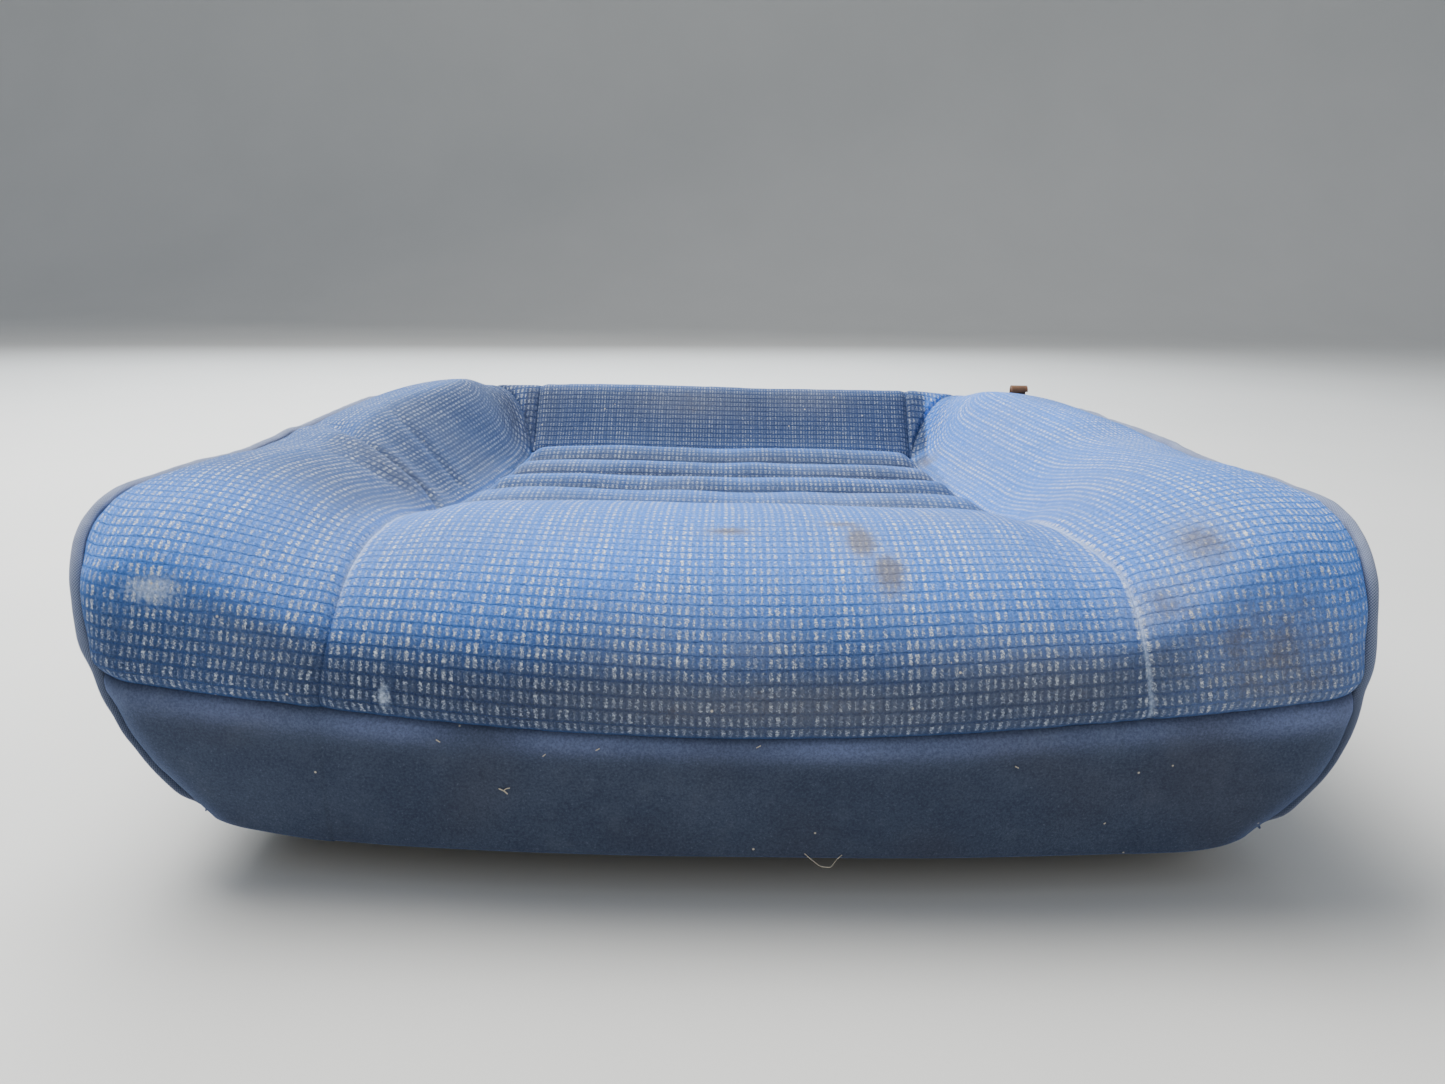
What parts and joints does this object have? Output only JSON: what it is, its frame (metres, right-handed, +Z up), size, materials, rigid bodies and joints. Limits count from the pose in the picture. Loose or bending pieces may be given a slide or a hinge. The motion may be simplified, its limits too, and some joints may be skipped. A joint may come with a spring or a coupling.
{
  "type": "car seat cushion",
  "caption": "Lower cushion of a front bucket seat: raised side bolsters, fluted insert, thigh roll and plain valance over a foam pad on a sprung steel frame.",
  "frame": {"origin": "on the plane under the frame's feet, at the centre of the cushion's footprint", "axes": "+X to the right of someone facing the cushion's front, +Y to the rear, +Z up"},
  "size_m": [0.5146, 0.4997, 0.154],
  "materials": {
    "velour_patterned": "cut velour with short pale dashes on a mid-blue ground, foam-backed",
    "velour_plain": "plain dark navy velour",
    "piping_cloth": "navy woven cloth over a filler cord",
    "moulded_foam": "moulded polyurethane foam, aged cream",
    "wadding": "white polyester wadding",
    "felt": "grey needled felt",
    "listing_cloth": "undyed woven tape",
    "hem_plastic": "black extruded strip",
    "clip_nylon": "natural nylon",
    "spring_steel": "oiled dark spring wire",
    "wire_steel": "drawn wire",
    "tab_steel": "thin tan coating gone rusty",
    "frame_steel": "black dipped paint"
  },
  "bodies": {
    "root": {"bolster_left": "velour_patterned", "bolster_right": "velour_patterned", "bolster_wire_left": "wire_steel", "bolster_wire_right": "wire_steel", "bolt_doublers": "frame_steel", "felt_pad": "felt", "fluted_insert": "velour_patterned", "foam_pad": "moulded_foam", "foam_wire_front": "wire_steel", "foam_wire_left": "wire_steel", "foam_wire_rear": "wire_steel", "foam_wire_right": "wire_steel", "front_hem_strip": "hem_plastic", "front_rail": "frame_steel", "front_valance": "velour_plain", "hog_rings": "wire_steel", "insert_wadding": "wadding", "listing_sleeves": "listing_cloth", "listing_wire_front": "wire_steel", "listing_wire_left": "wire_steel", "listing_wire_rear": "wire_steel", "listing_wire_right": "wire_steel", "piping_left": "piping_cloth", "piping_right": "piping_cloth", "rear_hem_rings": "wire_steel", "rear_hem_wire": "wire_steel", "rear_hook_tab": "tab_steel", "rear_riser": "velour_patterned", "rear_skirt": "velour_plain", "rear_tube": "frame_steel", "riser_gusset_left": "velour_patterned", "riser_gusset_right": "velour_patterned", "seat_spring_1": "spring_steel", "seat_spring_2": "spring_steel", "seat_spring_3": "spring_steel", "seat_spring_4": "spring_steel", "seat_spring_5": "spring_steel", "side_hem_strip_left": "hem_plastic", "side_hem_strip_right": "hem_plastic", "side_member_left": "frame_steel", "side_member_right": "frame_steel", "side_skirt_left": "velour_plain", "side_skirt_right": "velour_plain", "spring_clips_front": "clip_nylon", "spring_clips_rear": "clip_nylon", "thigh_panel": "velour_patterned", "tie_wire_front": "wire_steel", "tie_wire_rear": "wire_steel"}
  },
  "joints": []
}
